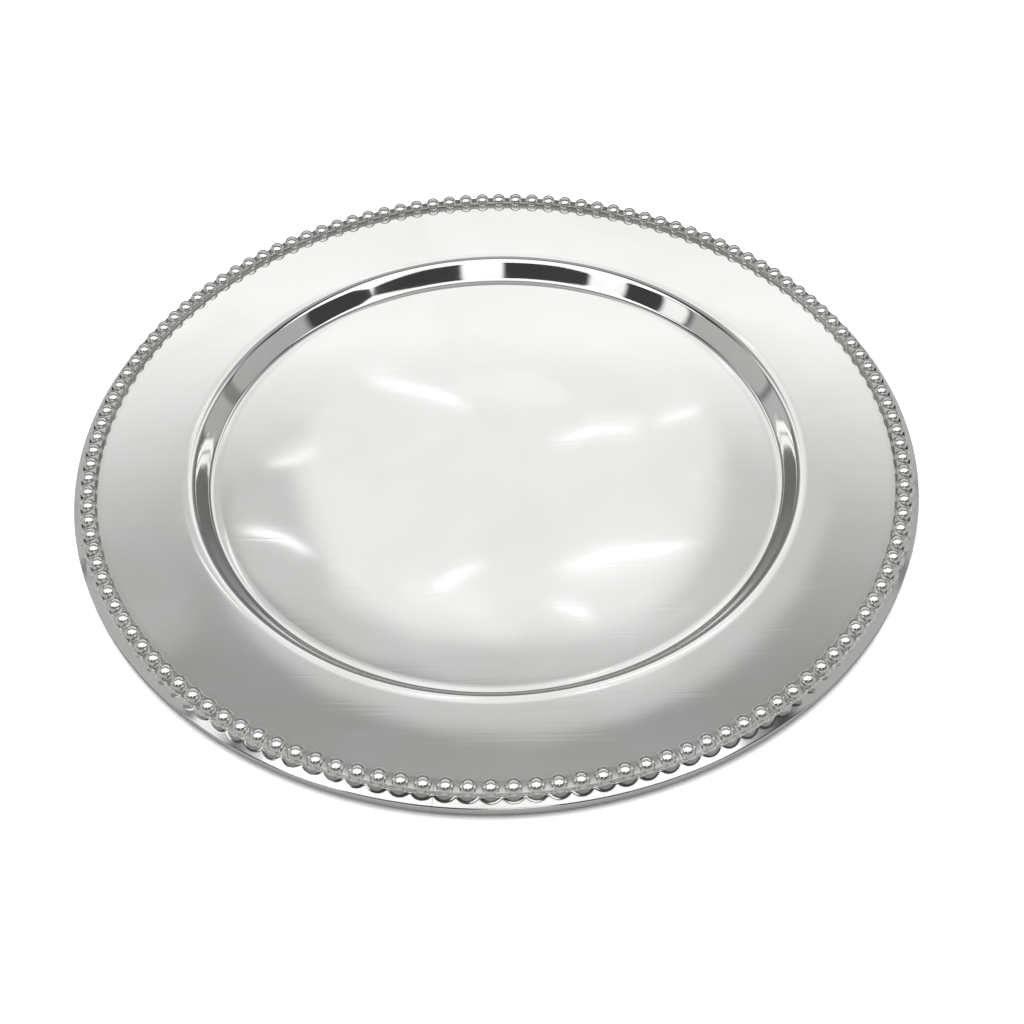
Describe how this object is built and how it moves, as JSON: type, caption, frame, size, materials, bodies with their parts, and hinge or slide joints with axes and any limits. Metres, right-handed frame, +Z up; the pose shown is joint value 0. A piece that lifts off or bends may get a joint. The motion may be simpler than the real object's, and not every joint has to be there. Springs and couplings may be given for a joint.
{
  "type": "silver salver",
  "caption": "Round silver salver with a flat sunken well, a wide plain rim, a beaded border and a rounded lip.",
  "frame": {"origin": "centre of the well's underside, on the surface that the salver stands on", "axes": "+Z up, along the axis of the dish; +X to the right and +Y away from a viewer at the front"},
  "size_m": [0.33, 0.33, 0.0139],
  "materials": {
    "polished_sheet": "mirror-polished silver sheet with fine cleaning marks",
    "struck_beads": "polished silver, a little tarnish between the beads",
    "drawn_moulding": "polished drawn silver moulding",
    "hard_wire": "drawn silver wire, satin, slightly tarnished"
  },
  "bodies": {
    "root": {"dish": "polished_sheet", "bead_border_01": "struck_beads", "bead_border_02": "struck_beads", "bead_border_03": "struck_beads", "bead_border_04": "struck_beads", "bead_border_05": "struck_beads", "bead_border_06": "struck_beads", "bead_border_07": "struck_beads", "bead_border_08": "struck_beads", "bead_border_09": "struck_beads", "bead_border_10": "struck_beads", "bead_border_11": "struck_beads", "bead_border_12": "struck_beads", "lip_moulding_1": "drawn_moulding", "lip_moulding_2": "drawn_moulding", "lip_moulding_3": "drawn_moulding", "lip_moulding_4": "drawn_moulding", "rim_wire": "hard_wire"}
  },
  "joints": []
}
